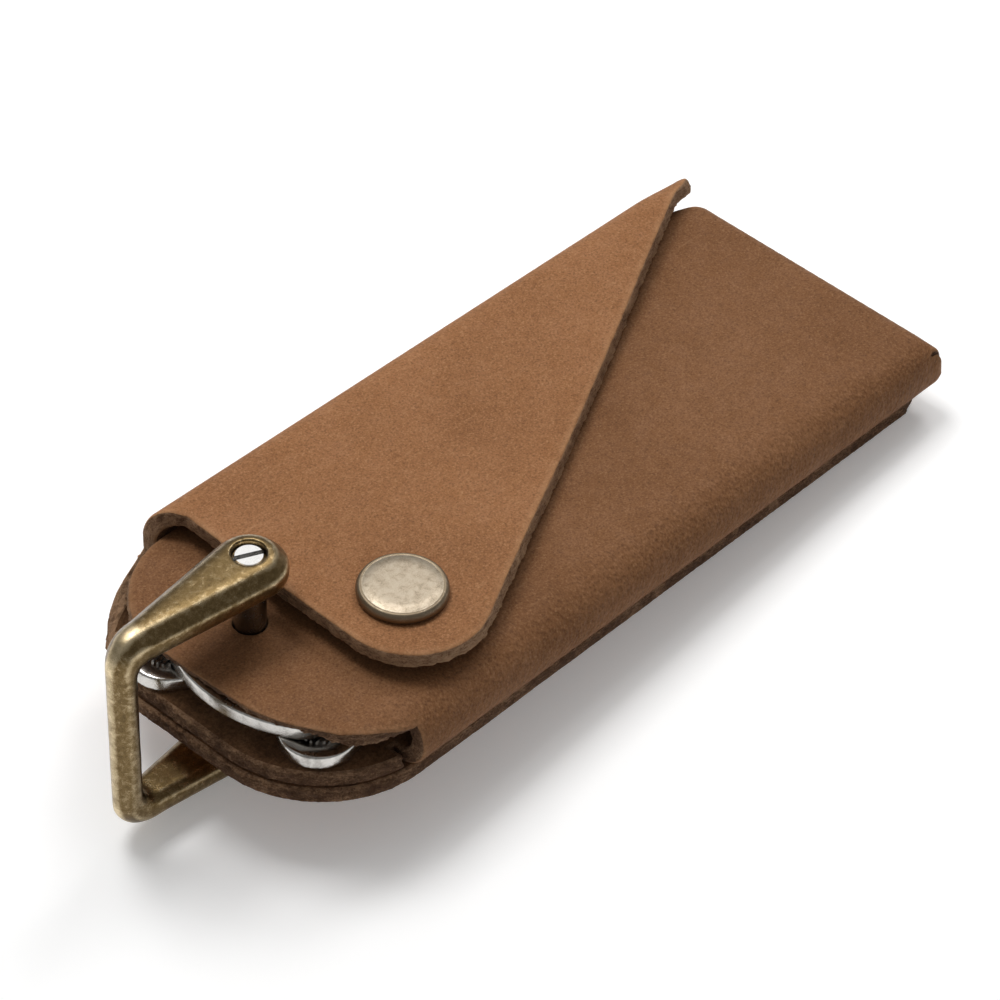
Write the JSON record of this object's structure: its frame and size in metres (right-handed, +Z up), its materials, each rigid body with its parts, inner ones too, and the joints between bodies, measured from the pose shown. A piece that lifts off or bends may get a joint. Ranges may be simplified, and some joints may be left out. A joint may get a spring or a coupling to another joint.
{
  "type": "key case",
  "caption": "Folded leather key case with a pointed snap flap and a swivelling C-shaped brass shackle; keys pivot on the shackle's pin inside the sleeve.",
  "frame": {"origin": "on the pivot axis, at the underside of the shackle's lower arm", "axes": "+X along the case from the mouth to the closed end, +Y towards the flap's fold, +Z up through the flap"},
  "size_m": [0.1096, 0.0415, 0.0284],
  "materials": {
    "leather": "waxed, matt, rubbed edges",
    "antique_brass": "antique, satin",
    "steel": "satin",
    "key_metal": "nickel plated, worn"
  },
  "bodies": {
    "case": {"back_panel": "leather", "inner_panel": "leather", "top_panel": "leather", "front_fold": "leather", "end_fold": "leather", "lower_fold": "leather", "snap_stud": "antique_brass", "snap_rivet": "antique_brass"},
    "wall": {"back_wall": "leather"},
    "flap": {"upper_fold": "leather", "flap": "leather", "snap_cap": "antique_brass", "snap_socket": "antique_brass", "snap_spring": "steel"},
    "shackle": {"shackle": "antique_brass", "pivot_pin": "steel"},
    "upper_key": {"upper_key": "key_metal"},
    "lower_key": {"lower_key": "key_metal"}
  },
  "joints": [
    {"name": "flap_open", "type": "hinge", "parent": "case", "child": "wall", "pos_m": [0, 0.01642, 0.00948], "axis": [-1, 0, 0], "range_deg": [0, 90], "deforming": ["lower_fold"]},
    {"name": "flap_unfold", "type": "hinge", "parent": "wall", "child": "flap", "pos_m": [0, 0.01642, 0.02012], "axis": [-1, 0, 0], "range_deg": [0, 90], "deforming": ["upper_fold"]},
    {"name": "shackle_swivel", "type": "hinge", "parent": "case", "child": "shackle", "pos_m": [0, 0, 0.0142], "axis": [0, 0, 1], "range_deg": [-40, 40]},
    {"name": "upper_key_swing", "type": "hinge", "parent": "case", "child": "upper_key", "pos_m": [0, 0, 0.0147], "axis": [0, 0, 1], "range_deg": [-12, 17]},
    {"name": "lower_key_swing", "type": "hinge", "parent": "case", "child": "lower_key", "pos_m": [0, 0, 0.0127], "axis": [0, 0, 1], "range_deg": [-22, 6]}
  ],
  "couplings": [
    {"joint": "flap_unfold", "follows": "flap_open", "ratio": 1}
  ]
}
